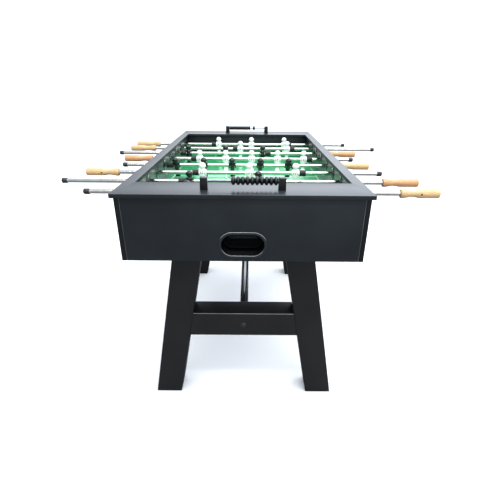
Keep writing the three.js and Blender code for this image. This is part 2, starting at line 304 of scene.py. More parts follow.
def makeFieldPrint():
    p = fieldPrint
    end, line = p["halfLength"], p["line"]
    material, shader, place = startMaterial(
        "field_printed_film", IOR=1.5, Roughness=0.3, Coat_Weight=0.6, Coat_Roughness=0.07)
    # All four quarters are alike, so the lines are worked out on one of them.
    flat = addNode(material, "VectorMath", {0: place, 1: (1, 1, 0)}, operation="MULTIPLY")
    quarter = addNode(material, "VectorMath", {0: flat}, operation="ABSOLUTE")
    along = addNode(material, "SeparateXYZ", {0: quarter}).outputs["Y"]
    marks, outsides = [], []
    for halfX, depth in ((p["halfWidth"], 2 * end), p["penalty"], p["goalArea"]):
        middle = addNode(material, "VectorMath", {0: quarter, 1: (0, end - depth / 2, 0)},
                         operation="SUBTRACT")
        folded = addNode(material, "VectorMath", {0: middle}, operation="ABSOLUTE")
        beyond = addNode(material, "VectorMath", {0: folded, 1: (halfX, depth / 2, 0)},
                         operation="SUBTRACT")
        axes = addNode(material, "SeparateXYZ", {0: beyond}).outputs
        outsides.append(addNode(material, "Math", {0: axes["X"], 1: axes["Y"]}, operation="MAXIMUM"))
        # Compare gives 1 where its first two values are no further apart than the third.
        marks.append(addNode(material, "Math", {0: outsides[-1], 1: 0.0, 2: line},
                             operation="COMPARE"))
    inField = addNode(material, "Math", {0: outsides[0], 1: 0.0}, operation="LESS_THAN")
    beforeBox = addNode(material, "Math", {0: along, 1: end - p["penalty"][1]},
                        operation="LESS_THAN")
    halfway = addNode(material, "Math", {0: along, 1: line}, operation="LESS_THAN")
    marks.append(addNode(material, "Math", {0: halfway, 1: inField}, operation="MULTIPLY"))
    for radius, x, y, within in (
        (p["circle"], 0, 0, inField), (p["arc"], 0, end - p["arcCentre"], beforeBox),
        (p["corner"], p["halfWidth"], end, inField),
    ):
        reach = addNode(material, "VectorMath", {0: quarter, 1: (x, y, 0)},
                        operation="DISTANCE").outputs["Value"]
        ring = addNode(material, "Math", {0: reach, 1: radius, 2: line}, operation="COMPARE")
        marks.append(addNode(material, "Math", {0: ring, 1: within}, operation="MULTIPLY"))
    for y in (0, end - p["arcCentre"]):
        reach = addNode(material, "VectorMath", {0: quarter, 1: (0, y, 0)},
                        operation="DISTANCE").outputs["Value"]
        marks.append(addNode(material, "Math", {0: reach, 1: p["spot"]}, operation="LESS_THAN"))
    lines = marks[0]
    for mark in marks[1:]:
        lines = addNode(material, "Math", {0: lines, 1: mark}, operation="MAXIMUM")
    mottle = addNode(material, "TexNoise", {"Vector": place, "Scale": 1 / (26 * mm), "Detail": 5})
    green = addNode(material, "ValToRGB", {0: mottle}, [
        (0.3, hexColour(p["inks"][0])), (0.7, hexColour(p["inks"][1]))])
    # Sockets 6 and 7 of a Mix node are its two colours, and output 2 is the mixed one.
    ink = addNode(material, "Mix", {0: lines, 6: green, 7: hexColour(p["lineInk"])},
                  data_type="RGBA")
    film = addNode(material, "TexNoise", {"Vector": place, "Scale": 1 / (9 * mm), "Detail": 2})
    feed(material, shader, {
        "Base Color": ink.outputs[2],
        "Normal": addNode(material, "Bump", {"Height": film, "Distance": 0.05 * mm, "Strength": 0.25}),
    })
    return material


fieldFilm = makeFieldPrint()


# Metal plate: chrome is a mirror with a faint haze of marks round the drawn tube, and
# bright zinc is softer and greyer with a fine uneven bloom.
def makePlate(name, colours, rough, markSize, markShape):
    material, shader, place = startMaterial(name, Metallic=1.0)
    stretched = addNode(material, "Mapping", {"Vector": place, "Scale": markShape})
    marks = addNode(material, "TexNoise", {"Vector": stretched, "Scale": 1 / markSize, "Detail": 3})
    haze = addNode(material, "TexNoise", {"Vector": place, "Scale": 1 / (20 * mm), "Detail": 4})
    feed(material, shader, {
        "Base Color": addNode(material, "ValToRGB", {0: haze}, [
            (0.3, hexColour(colours[0])), (0.7, hexColour(colours[1]))]),
        "Roughness": addNode(material, "ValToRGB", {0: marks}, [
            (0.35, grey(rough[0])), (0.65, grey(rough[1]))]),
        "Normal": addNode(material, "Bump", {
            "Height": marks, "Distance": 0.01 * mm, "Strength": 0.4}),
    })
    return material


chromePlate = makePlate("rod_chrome_plate", ("b4b2ab", "c8c6bf"), (0.1, 0.2), 1.4 * mm,
                        (1, 0.02, 0.02))
zincPlate = makePlate("bright_zinc_plated_steel", ("858a8e", "a9adb0"), (0.26, 0.4), 2.5 * mm,
                      (1, 1, 1))


# Moulded plastic, or paint: even colour, a skin that waves slightly as it left the mould,
# and small scuffs that dull the gloss in places.
def makeMoulded(name, colours, roughness, specular=0.5, coat=0.0, wave=0.12 * mm):
    material, shader, place = startMaterial(
        name, IOR=1.53, Specular_IOR_Level=specular, Coat_Weight=coat, Coat_Roughness=0.06)
    skin = addNode(material, "TexNoise", {"Vector": place, "Scale": 1 / (6 * mm), "Detail": 3})
    scuff = addNode(material, "TexNoise", {
        "Vector": place, "Scale": 1 / (1.6 * mm), "Detail": 5, "Roughness": 0.7})
    feed(material, shader, {
        "Base Color": addNode(material, "ValToRGB", {0: skin}, [
            (0.3, hexColour(colours[0])), (0.7, hexColour(colours[1]))]),
        "Roughness": addNode(material, "ValToRGB", {0: scuff}, [
            (0.45, grey(roughness)), (0.75, grey(roughness + 0.16))]),
        "Normal": addNode(material, "Bump", {
            "Height": skin, "Distance": wave, "Strength": 0.25}),
    })
    return material


whiteAbs = makeMoulded("white_gloss_abs", ("f3efec", "faf7f5"), 0.22, coat=0.3)
blackAbs = makeMoulded("black_gloss_abs", ("08090a", "0d0e10"), 0.22, 0.4, coat=0.15)
fittingAbs = makeMoulded("black_gloss_nylon", ("0d0f10", "131516"), 0.16, coat=0.6)
# Black plastic drawn near lightless and dull: painted shade inside the cup's hollow.
cupPaintedShadeAbs = makeMoulded("black_cup_abs_painted_shade", ("020303", "040505"), 0.5, 0.08)
rimAbs = makeMoulded("polished_black_abs_rim", ("14171a", "1a1d20"), 0.3, 0.45)
tubeLacquer = makeMoulded("black_gloss_lacquer", ("0c0d0e", "101213"), 0.04, coat=0.6,
                          wave=0.01 * mm)
boltSteel = makeMoulded("blackened_bolt_steel", ("191b1c", "222425"), 0.3, coat=0.3)


# Black rubber: dull, a little grey with bloom, and finely rough all over.
def makeRubber():
    material, shader, place = startMaterial("moulded_black_rubber", IOR=1.52)
    bloom = addNode(material, "TexNoise", {"Vector": place, "Scale": 1 / (7 * mm), "Detail": 4})
    grain = addNode(material, "TexNoise", {"Vector": place, "Scale": 1 / (0.7 * mm), "Detail": 2})
    feed(material, shader, {
        "Base Color": addNode(material, "ValToRGB", {0: bloom}, [
            (0.35, hexColour("101112")), (0.7, hexColour("1a1c1d"))]),
        "Roughness": addNode(material, "ValToRGB", {0: bloom}, [(0.3, grey(0.36)), (0.7, grey(0.5))]),
        "Normal": addNode(material, "Bump", {"Height": grain, "Distance": 0.06 * mm, "Strength": 0.5}),
    })
    return material


blackRubber = makeRubber()


# Clear-varnished maple: pale honey wood, its growth bands a few millimetres apart and drawn
# out along the grip, with fine pores along the grain under a thin gloss of varnish.
mapleGrain = {
    "band": 5 * mm, "pore": 0.9 * mm, "warp": 60 * mm,
    "tones": ("cb9c64", "dbb27c", "e6c796"), "heartTones": ("c48a55", "d29c67", "dcae7e"),
    "poreTone": "c9985e",
}


def makeMaple(name, tones):
    p = mapleGrain
    material, shader, place = startMaterial(name, IOR=1.5, Coat_Weight=0.35, Coat_Roughness=0.16)
    drawnOut = addNode(material, "Mapping", {
        "Vector": place, "Scale": (0.07, 1, 1), "Rotation": (0.5, 0, 0.02)})
    wave = addNode(material, "TexNoise", {"Vector": place, "Scale": 1 / p["warp"], "Detail": 2})
    # Moved sideways by the slow noise, so the bands wander along the grip.
    wander = addNode(material, "VectorMath", {0: wave, 1: (0, 0.3 * p["warp"], 0.5 * p["warp"])},
                     operation="MULTIPLY")
    bent = addNode(material, "VectorMath", {0: drawnOut, 1: wander}, operation="ADD")
    # A wave texture of scale s repeats every 0.314 / s.
    bands = addNode(material, "TexWave", {
        "Vector": bent, "Scale": 0.314 / p["band"], "Distortion": 1.5, "Detail": 3,
    }, bands_direction="Z").outputs["Fac"]
    alongGrain = addNode(material, "Mapping", {"Vector": place, "Scale": (0.05, 1, 1)})
    pores = addNode(material, "TexNoise", {
        "Vector": alongGrain, "Scale": 1 / p["pore"], "Detail": 3})
    wood = addNode(material, "ValToRGB", {0: bands}, [
        (0.0, hexColour(tones[0])), (0.35, hexColour(tones[1])), (1.0, hexColour(tones[2]))])
    fleck = addNode(material, "ValToRGB", {0: pores}, [
        (0.38, hexColour(p["poreTone"])), (0.54, grey(1.0))])
    grain = addNode(material, "Mix", {0: 0.5, 6: wood, 7: fleck}, data_type="RGBA",
                    blend_type="MULTIPLY")
    feed(material, shader, {
        "Base Color": grain.outputs[2],
        "Roughness": addNode(material, "ValToRGB", {0: pores}, [(0.35, grey(0.48)), (0.65, grey(0.32))]),
        "Normal": addNode(material, "Bump", {"Height": pores, "Distance": 0.04 * mm, "Strength": 0.5}),
    })
    return material


maple = makeMaple("varnished_maple", mapleGrain["tones"])
heartMaple = makeMaple("varnished_maple_heartwood", mapleGrain["heartTones"])
print("materials made")


# Top frame: four mitred rails with rounded edges.

topFrame = {"sideRail": 38 * mm, "endRail": 139 * mm, "edge": 1.3 * mm, "seam": 0.15 * mm}


def makeRails():
    low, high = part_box("top_frame")
    p = topFrame
    openX, openY = high.x - p["sideRail"], high.y - p["endRail"]

    def longEdge(axis):
        def test(edge):
            a, b = (vertex.co for vertex in edge.verts)
            return abs((b - a)[axis]) > 2 * p["sideRail"] and abs((b - a)[2]) < p["seam"]
        return test

    def rail(name, lowest, highest, inner, axis):
        piece = startBlock(name, lowest, highest)
        for sign in (-1, 1):
            editParts(piece, "VERT", lambda v: inner(v.co) and v.co[axis] * sign > 0)
            amount = [0, 0, 0]
            amount[axis] = -sign * (p["endRail"] if axis == 1 else p["sideRail"])
            bpy.ops.transform.translate(value=amount)
        bevelEdges(piece, p["edge"], 4, longEdge(axis))
        return smoothShade(piece)

    gap = p["seam"]
    front = rail("frame_rail_front", (low.x, low.y, low.z), (high.x, -openY, high.z),
                 lambda co: co.y > -openY - gap, 0)
    back = copyOf(front, "frame_rail_back", halfTurn)
    right = rail("frame_rail_right", (openX, low.y + gap, low.z), (high.x, high.y - gap, high.z),
                 lambda co: co.x < openX + gap, 1)
    left = copyOf(right, "frame_rail_left", halfTurn)
    for piece in (front, back, right, left):
        fit(piece, frameFilm, "frame_laminate")
        secondFinish(piece, cabinetMelamine, lambda face: abs(face.normal.z) < 0.3)
    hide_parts("top_frame")


makeRails()
print("top frame made")


# Boards of the cabinet.

board = {
    "thickness": 15 * mm, "edge": 0.8 * mm, "goalWidth": 200 * mm, "goalHeight": 62 * mm,
    "goalRound": 9 * mm,
}
rodNames = [name[:-6] for name in joints if name.endswith("_slide") and "bead" not in name]
rodPlace = {name: Vector(joints[name + "_spin"]["pos_m"]) for name in rodNames}
rodZ = rodPlace[rodNames[0]].z
bushFit = {
    "bore": 8.45 * mm, "hub": 12 * mm, "nose": 4.4 * mm, "hubLength": 8 * mm, "flange": 24 * mm,
    "flangeThickness": 3 * mm, "round": 1.1 * mm, "play": 0.2 * mm,
    "scallops": 6, "scallop": 5 * mm, "scallopMiddle": 26.6 * mm,
}


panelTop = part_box("top_frame")[0].z - seat
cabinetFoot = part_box("cabinet_base")[0].z
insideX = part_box("end_panel_front")[1].x
innerX = insideX + seat
outerX = innerX + board["thickness"]


def makeSidePanels():
    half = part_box("side_panel_right")[1].y
    piece = startBlock("side_board_right", (innerX, -half, cabinetFoot), (outerX, half, panelTop))
    roundEdges(piece, board["edge"])
    cutWith(piece, joined([
        startRound(bushFit["hub"] + bushFit["play"], 4 * board["thickness"],
                   (innerX, rodPlace[name].y, rodZ)) for name in rodNames]))
    smoothShade(piece)
    other = copyOf(piece, "side_board_left", halfTurn)
    for one, node in ((piece, "side_panel_right"), (other, "side_panel_left")):
        fit(one, cabinetMelamine, "cabinet_laminate", "cabinet", node)
        secondFinish(one, darkBoardEnd, lambda face: abs(face.normal.y) > 0.8)


makeSidePanels()


# Flanged plastic bush pushed in from the field side, and its ribbed nut outside.
def makeBushes():
    p = bushFit
    inner, outer = innerX, outerX
    middle = (inner + outer) / 2
    r = p["round"]
    bush = startTurned("bush", [
        (p["bore"] + r, inner - p["nose"]), (p["hub"] - r, inner - p["nose"]),
        (p["hub"] + 0.3 * mm, inner - p["flangeThickness"]),
        (p["flange"] - r, inner - p["flangeThickness"]),
        (p["flange"] - 0.3 * r, inner - p["flangeThickness"] + 0.3 * r),
        (p["flange"], inner - p["flangeThickness"] + r), (p["flange"], inner),
        (p["hub"], inner), (p["hub"], middle), (p["bore"], middle),
        (p["bore"], inner - p["nose"] + r),
    ], 48)
    smoothShade(bush, 50)
    nut = startTurned("nut", [
        (p["bore"], middle + p["play"]), (p["hub"], middle + p["play"]), (p["hub"], outer),
        (p["flange"], outer), (p["flange"], outer + p["flangeThickness"] - r),
        (p["flange"] - r, outer + p["flangeThickness"]),
        (p["hub"] + 2 * r, outer + p["flangeThickness"]),
        (p["hub"], outer + p["flangeThickness"] + r), (p["hub"], outer + p["hubLength"] - r),
        (p["hub"] - r, outer + p["hubLength"]), (p["bore"] + r, outer + p["hubLength"]),
        (p["bore"], outer + p["hubLength"] - r),
    ], 48)
    # Grip scallops round the nut's flange.
    angles = [turn * math.tau / p["scallops"] for turn in range(p["scallops"])]
    cutWith(nut, joined([
        startRound(p["scallop"], 12 * mm, sides=24, place=(
            outer + 6.1 * mm, p["scallopMiddle"] * math.cos(angle),
            p["scallopMiddle"] * math.sin(angle))) for angle in angles]))
    smoothShade(nut, 40)
    for name in rodNames:
        place = shift((0, rodPlace[name].y, rodZ))
        for side, turn in (("right", Matrix.Identity(4)), ("left", halfTurn)):
            fit(copyOf(bush, f"bush_{name}_{side}", place @ turn), fittingAbs, "black_plastic")
            fit(copyOf(nut, f"bush_nut_{name}_{side}", place @ turn), fittingAbs, "black_plastic")
    bpy.data.objects.remove(bush)
    bpy.data.objects.remove(nut)


makeBushes()
print("side boards and bushes made")


# End panels and their return cups.

returnCup = {
    "width": 138 * mm, "height": 75 * mm, "depth": 60 * mm, "wall": 3 * mm, "rim": 6 * mm,
    "proud": 3 * mm, "lift": 54.5 * mm, "lip": 2 * mm, "innerLip": 1.8 * mm, "mouth": 12 * mm,
    "inlet": (90 * mm, 40 * mm), "inletRound": 5 * mm, "play": 0.2 * mm, "backRound": 6 * mm,
}


# A prism with round ends, standing along Y from one depth to the other.
def startSlot(name, width, height, fromY, toY, z, sides=64):
    piece = startRound(height / 2, abs(toY - fromY), (0, (fromY + toY) / 2, z), alongY, sides)
    piece.name = name
    for sign in (-1, 1):
        editParts(piece, "VERT", lambda v: v.co.x * sign > 0.1 * mm)
        bpy.ops.transform.translate(value=(sign * (width - height) / 2, 0, 0))
    leaveEdit()
    return piece


def makeEndPanels():
    p = returnCup
    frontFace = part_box("side_panel_right")[0].y
    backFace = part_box("cabinet_base")[0].y - seat
    middleZ = cabinetFoot + p["lift"]
    panel = startBlock("end_board_front", (-insideX, frontFace, cabinetFoot),
                       (insideX, backFace, panelTop))
    roundEdges(panel, board["edge"])
    cutWith(panel, startSlot("cut", p["width"] + 2 * p["play"], p["height"] + 2 * p["play"],
                             frontFace - p["wall"], backFace + p["wall"], middleZ))
    smoothShade(panel)

    cupBack = frontFace + p["depth"]

    def atBack(edge):
        return all(vertex.co.y > frontFace + p["depth"] / 2 for vertex in edge.verts)

    cup = startSlot("return_cup_front", p["width"] + 2 * p["rim"], p["height"] + 2 * p["rim"],
                    frontFace - p["proud"], frontFace - 0.02 * mm, middleZ)
    bevelEdges(cup, p["lip"], 4,
               lambda edge: all(v.co.y < frontFace - p["proud"] / 2 for v in edge.verts))
    shell = startSlot("shell", p["width"], p["height"], frontFace - p["proud"] / 2, cupBack,
                      middleZ)
    bevelEdges(shell, p["backRound"], 5, atBack)
    cutWith(cup, shell, "UNION")
    innerWidth, innerHeight = p["width"] - 2 * p["wall"], p["height"] - 2 * p["wall"]
    hollow = startSlot("hollow", innerWidth, innerHeight, frontFace - 3 * p["proud"],
                       cupBack - p["wall"], middleZ)
    bevelEdges(hollow, p["backRound"] - p["wall"] / 2, 5, atBack)
    cutWith(cup, hollow)
    inletWidth, inletHeight = p["inlet"]
    inletTop = middleZ + innerHeight / 2 - p["backRound"]
    inlet = startBlock("inlet", (-inletWidth / 2, cupBack - 3 * p["wall"],
                                 inletTop + p["backRound"] - inletHeight),
                       (inletWidth / 2, cupBack + p["inletRound"], inletTop))
    roundEdges(inlet, p["inletRound"], 4)
    cutWith(cup, inlet)

    def onLip(edge):
        def near(co):
            reach = math.hypot(max(abs(co.x) - (innerWidth - innerHeight) / 2, 0), co.z - middleZ)
            return abs(reach - innerHeight / 2) < 0.4 * mm and co.y < frontFace - p["proud"] + seat
        return all(near(vertex.co) for vertex in edge.verts)

    bevelEdges(cup, p["innerLip"], 4, onLip)
    smoothShade(cup, 40)
    for end, turn in (("front", Matrix.Identity(4)), ("back", halfTurn)):
        if end == "back":
            panel = copyOf(panel, "end_board_back", turn)
            cup = copyOf(cup, "return_cup_back", turn)
        fit(panel, cabinetMelamine, "cabinet_laminate", "cabinet", f"end_panel_{end}")
        # Painted highlight: the end board's vertical edge bevels take the pale edge colour.
        secondFinish(panel, paintedEdgeHighlight, lambda face: abs(face.normal.x) > 0.2
                     and abs(face.normal.y) > 0.2 and abs(face.center.x) > 0.3)
        # Painted shade fills the cup's inside, and the front rim faces keep the lighter polished black.
        fit(cup, cupPaintedShadeAbs, "black_plastic")
        secondFinish(cup, rimAbs, lambda face: abs(face.center.y) > -frontFace - p["mouth"])
        # Painted highlight: the upward-facing bevels of the rim and lip take the pale edge colour.
        secondFinish(cup, paintedEdgeHighlight, lambda face: face.normal.z > 0.3 and abs(face.normal.y) > 0.2
                     and abs(face.center.y) > -frontFace)


makeEndPanels()
print("end boards and return cups made")


# Goal walls, ball ramps, field and base.

ramp = {"thickness": 9 * mm, "drop": 5 * mm, "fall": 38 * mm, "run": 40.7 * mm}


def makeGoalWalls():
    low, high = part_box("goal_wall_front")
    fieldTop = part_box("playfield")[1].z
    outer = high.y - board["thickness"]
    wall = startBlock("goal_board_front", (low.x, outer, low.z), high - Vector((0, 0, seat)))
    roundEdges(wall, board["edge"])
    past, halfGoal = 10 * mm, board["goalWidth"] / 2
    mouth = startBlock("mouth", (-halfGoal, outer - past, fieldTop - 0.2 * mm),
                       (halfGoal, high.y + past, fieldTop + board["goalHeight"]))
    bevelEdges(mouth, board["goalRound"], 6, lambda edge: all(
        v.co.z > fieldTop + past for v in edge.verts)
        and abs(edge.verts[0].co.x - edge.verts[1].co.x) < mm)
    cutWith(wall, mouth)
    smoothShade(wall)
    top = fieldTop - ramp["drop"]
    slope = startBlock("ball_ramp_front", (-halfGoal, outer - ramp["run"], top - ramp["thickness"]),
                       (halfGoal, outer - 0.2 * mm, top))
    editParts(slope, "VERT", lambda v: v.co.y < outer - ramp["run"] / 2)
    bpy.ops.transform.translate(value=(0, 0, -ramp["fall"]))
    leaveEdit()
    roundEdges(slope, board["edge"])
    smoothShade(slope)
    for end, turn in (("front", Matrix.Identity(4)), ("back", halfTurn)):
        if end == "back":
            wall = copyOf(wall, "goal_board_back", turn)
            slope = copyOf(slope, "ball_ramp_back", turn)
        fit(wall, cabinetMelamine, "cabinet_laminate", "cabinet", f"goal_wall_{end}")
        fit(slope, cabinetMelamine, "cabinet_laminate")


makeGoalWalls()

field = roundEdges(startBlock("field_board", *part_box("playfield")), 0.5 * mm, 2)
fit(smoothShade(field), fieldFilm, "playfield_print", "cabinet", "playfield")
base = roundEdges(startBlock("base_board", *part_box("cabinet_base")), board["edge"])
fit(smoothShade(base), cabinetMelamine, "cabinet_laminate", "cabinet", "cabinet_base")


# Satin film on the inner faces of the side boards, between the goal boards. Its lighter grey is painted
# reflection of the bright field on the black walls.
def makeWallFilms():
    low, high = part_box("playfield")
    film = startBlock("field_wall_right", (insideX - 0.35 * mm, low.y, high.z + 0.2 * mm),
                      (insideX + 0.2 * mm, high.y, panelTop))
    cutWith(film, joined([
        startRound(bushFit["flange"] + seat, 10 * mm, (insideX, rodPlace[name].y, rodZ))
        for name in rodNames]))
    fit(smoothShade(film), wallFilmPaintedReflection, "cabinet_laminate")
    fit(copyOf(film, "field_wall_left", halfTurn), wallFilmPaintedReflection, "cabinet_laminate")


makeWallFilms()
print("field made")


# Legs, crossbars, bolts and stretcher.

legs = {
    "width": 102 * mm, "spread": 278 * mm, "splay": math.radians(10.05),
    "barBottom": 289 * mm, "barHeight": 99 * mm, "edge": 2 * mm, "seam": 0.25 * mm,
    "bolt": 7.5 * mm, "washer": 11 * mm,
}


def makeLegFrame():
    p = legs
    low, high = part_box("leg_frame_front")
    lean = math.tan(p["splay"])

    def innerAt(z):
        return p["spread"] / 2 + (high.z - z) * lean

    leg = startBlock("leg_front_right", (innerAt(high.z), low.y, 0),
                     (innerAt(high.z) + p["width"], high.y, high.z))
    editParts(leg, "VERT", lambda v: v.co.z < high.z / 2)
    bpy.ops.transform.translate(value=(innerAt(0) - innerAt(high.z), 0, 0))
    leaveEdit()
    smoothShade(roundEdges(leg, p["edge"], 4))
    otherLeg = copyOf(leg, "leg_front_left", Matrix.Scale(-1, 4, (1, 0, 0)))
    bottom, top = p["barBottom"], p["barBottom"] + p["barHeight"]
    bar = startBlock("crossbar_front", (-innerAt(top), low.y, bottom), (innerAt(top), high.y, top))
    for sign in (-1, 1):
        editParts(bar, "VERT", lambda v: v.co.x * sign > 0 and v.co.z < (top + bottom) / 2)
        bpy.ops.transform.translate(value=(sign * (innerAt(bottom) - innerAt(top)), 0, 0))
        editParts(bar, "VERT", lambda v: v.co.x * sign > 0)
        bpy.ops.transform.translate(value=(-sign * p["seam"], 0, 0))
    leaveEdit()
    return leg, otherLeg, smoothShade(roundEdges(bar, p["edge"], 4))


# Domed bolt head on its washer, facing -Y, proud of the crossbar.
def makeBolt():
    p = legs
    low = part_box("leg_frame_front")[0]
    z = p["barBottom"] + p["barHeight"] / 2
    dome = [(p["bolt"] * math.cos(a), 1.2 * mm + 3.6 * mm * math.sin(a))
            for a in (step * math.pi / 12 for step in range(6))]
    bolt = startTurned("crossbar_bolt_front", [
        (0, 0), (p["washer"], 0), (p["washer"], 0.9 * mm), (p["washer"] - 0.3 * mm, 1.2 * mm),
        *dome, (2.4 * mm, 4.75 * mm), (2.2 * mm, 2.6 * mm), (0, 2.6 * mm),
    ], 32)
    moveMesh(bolt, shift((0, low.y, z)) @ Matrix.Rotation(-math.pi / 2, 4, "Z"))
    return smoothShade(bolt, 40)


frontLeg, otherFrontLeg, frontBar = makeLegFrame()
frontBolt = makeBolt()
for piece in (frontLeg, otherFrontLeg, frontBar, frontBolt):
    twin = copyOf(piece, piece.name.replace("front", "back"), halfTurn)
    steel = piece is frontBolt
    for one in (piece, twin):
        fit(one, boltSteel if steel else legMelamine, "painted_steel" if steel else "leg_laminate")
        # Painted highlight: the crossbar's top front bevel takes the pale edge colour.
        if piece is frontBar:
            secondFinish(one, paintedEdgeHighlight,
                         lambda face: face.normal.z > 0.2 and abs(face.normal.y) > 0.2)
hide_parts("leg_frame_front", "leg_frame_back")


# Round lacquered tube between the crossbars, with a pressed end collar at each end.
def makeStretcher():
    low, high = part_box("stretcher")
    radius = (high.z - low.z) / 2
    wall, collar = 1.5 * mm, 12 * mm
    reach = high.y
    piece = startTurned("stretcher_tube", [
        (radius - wall, -reach), (radius - 0.5 * mm, -reach), (radius, -reach + 0.5 * mm),
        (radius, -reach + collar), (radius - 0.6 * mm, -reach + collar + 0.8 * mm),
        (radius - 0.6 * mm, reach - collar - 0.8 * mm), (radius, reach - collar),
        (radius, reach - 0.5 * mm), (radius - 0.5 * mm, reach), (radius - wall, reach),
    ], 48)
    moveMesh(piece, shift((0, 0, (low.z + high.z) / 2)) @ Matrix.Rotation(math.pi / 2, 4, "Z"))
    fit(smoothShade(piece, 40), tubeLacquer, "painted_steel", "cabinet", "stretcher")


makeStretcher()
print("legs made")


# Rods: tube, bumpers and cap.

rodSet = {
    "radius": 7.95 * mm, "wall": 1.6 * mm, "bumper": 13 * mm, "bumperLength": 25 * mm,
    "cap": 9.95 * mm, "capLength": 20 * mm, "capEnd": 4 * mm,
}


# Ribbed rubber bumper, its table-side face at x 0.
def makeBumper():
    p = rodSet
    bore, outer, length = p["radius"] + 0.05 * mm, p["bumper"], p["bumperLength"]
    outline = [(bore, 0), (outer - 1.2 * mm, 0), (outer, 1.2 * mm)]
    grooves, pitch = 4, 4.6 * mm
    for groove in range(grooves):
        at = 3.6 * mm + groove * pitch
        outline += [(outer, at), (outer - 1.6 * mm, at + 0.7 * mm),
                    (outer - 1.6 * mm, at + 1.5 * mm), (outer, at + 2.2 * mm)]
    outline += [(outer, length - 1.2 * mm), (outer - 1.2 * mm, length), (bore, length)]
    return smoothShade(startTurned("bumper", outline, 36), 40)


# Rubber end cap, its mouth at x 0 and its rounded end at -capLength.
def makeCap():
    p = rodSet
    outer, length, fillet = p["cap"], p["capLength"], 4 * mm
    steps = [step * math.pi / 8 for step in range(5)]
    rounded = [(outer - fillet + fillet * math.sin(a), -length + fillet - fillet * math.cos(a))
               for a in steps]
    return smoothShade(startTurned("cap", [
        (0, -length), *rounded, (outer, -3.2 * mm), (outer - 0.5 * mm, -2.6 * mm),
        (outer, -2 * mm), (outer, -0.6 * mm), (outer - 0.6 * mm, 0),
        (p["radius"] + 0.05 * mm, 0), (p["radius"] + 0.05 * mm, -length + p["capEnd"]),
        (0, -length + p["capEnd"]),
    ], 36), 40)


# Turned grip about X, its collar end at x 0, through a smooth curve of radii.
grip = {
    "length": 132 * mm, "collar": 15.7 * mm, "neck": 11.6 * mm, "body": 15.2 * mm,
    "end": 13.9 * mm, "bore": 8.3 * mm, "boreDepth": 118 * mm,
    "screwAt": 68 * mm, "screwHole": 3.6 * mm, "holeDepth": 6 * mm,
}


def smoothStep(low, high, value):
    t = min(max((value - low) / (high - low), 0), 1)
    return t * t * (3 - 2 * t)


def makeGrip():
    p = grip
    collarEnd, neckAt, bodyAt = 10 * mm, 41 * mm, 70 * mm
    round_ = 4 * mm
    outline = [(p["bore"], 0), (p["bore"] + 1.0 * mm, 0)]
    for step in range(6):
        a = step * math.pi / 10
        outline.append((p["collar"] - round_ + round_ * math.sin(a), round_ - round_ * math.cos(a)))
    steps = 16
    for step in range(steps + 1):
        x = collarEnd + (neckAt - collarEnd) * step / steps
        fall = smoothStep(collarEnd - 2 * mm, neckAt, x)
        outline.append((p["collar"] + (p["neck"] - p["collar"]) * fall, x))
    for step in range(1, steps + 1):
        x = neckAt + (bodyAt - neckAt) * step / steps
        rise = smoothStep(neckAt, bodyAt, x)
        outline.append((p["neck"] + (p["body"] - p["neck"]) * rise, x))
    outline += [(p["body"], p["length"] - 3.4 * mm), (p["body"] - 0.4 * mm, p["length"] - 2.4 * mm),
                (p["end"] + 0.4 * mm, p["length"] - 0.5 * mm), (p["end"] - 0.4 * mm, p["length"]),
                (0, p["length"]), (0, p["boreDepth"]), (p["bore"], p["boreDepth"])]
    piece = startTurned("grip", outline, 40)
    # Counterbored screw hole in the side that faces -Y before the grip is turned.
    cutWith(piece, startRound(p["screwHole"], 2 * p["holeDepth"], (p["screwAt"], -p["body"], 0),
                              alongY, 24))
    return smoothShade(piece, 40)


# Pan-head screw facing -Y, with its under-face at y 0.
def makeScrew(name, radius, height):
    steps = [step * math.pi / 10 for step in range(5)]
    piece = startTurned(name, [
        (0, 0), (radius, 0), (radius, 0.25 * height),
        *[(radius * math.cos(a), 0.25 * height + 0.75 * height * math.sin(a)) for a in steps],
        (0.32 * radius, height), (0.05 * radius, 0.35 * height), (0, 0.35 * height),
    ], 20)
    moveMesh(piece, Matrix.Rotation(-math.pi / 2, 4, "Z"))
    return smoothShade(piece, 40)


bumperShape, capShape, gripShape = makeBumper(), makeCap(), makeGrip()
gripScrewShape = makeScrew("grip_screw", 2.8 * mm, 1.6 * mm)
manScrewShape = makeScrew("man_screw", 2.3 * mm, 1.4 * mm)
print("rod fittings made")


# Men: moulded players, one figure modelled at the rod and copied for each place. The face
# is at +Y, and the rod runs along X through the trunk.

man = {
    "sole": -60 * mm, "headMiddle": 27.6 * mm, "head": (12.8 * mm, 12.4 * mm, 12.2 * mm),
    "foot": (10.8 * mm, 11.8 * mm, 14 * mm), "bore": 8.1 * mm, "hub": 10.6 * mm,
    "ring": 5 * mm, "halfWidth": 15.9 * mm, "skin": 0.8 * mm, "keep": 0.2, "screwAt": -12.1 * mm,
    # Half widths and half depths of the trunk and legs up the body, in order of height.
    "legs": [(-50, 9.2, 6.6), (-42, 8.8, 6.0), (-33, 9.6, 7.4), (-26, 9.2, 6.9),
             (-23.5, 9.4, 7.2), (-22.5, 11.0, 9.6), (-14, 11.8, 11.2), (-10.5, 11.2, 11.2)],
    "trunk": [(-8.5, 11.6, 12.2), (2, 12.0, 12.8), (10, 12.4, 11.8), (15, 11.8, 9.6),
              (18, 7.6, 6.8), (19.2, 5.4, 5.6), (23, 5.2, 5.4)],
}


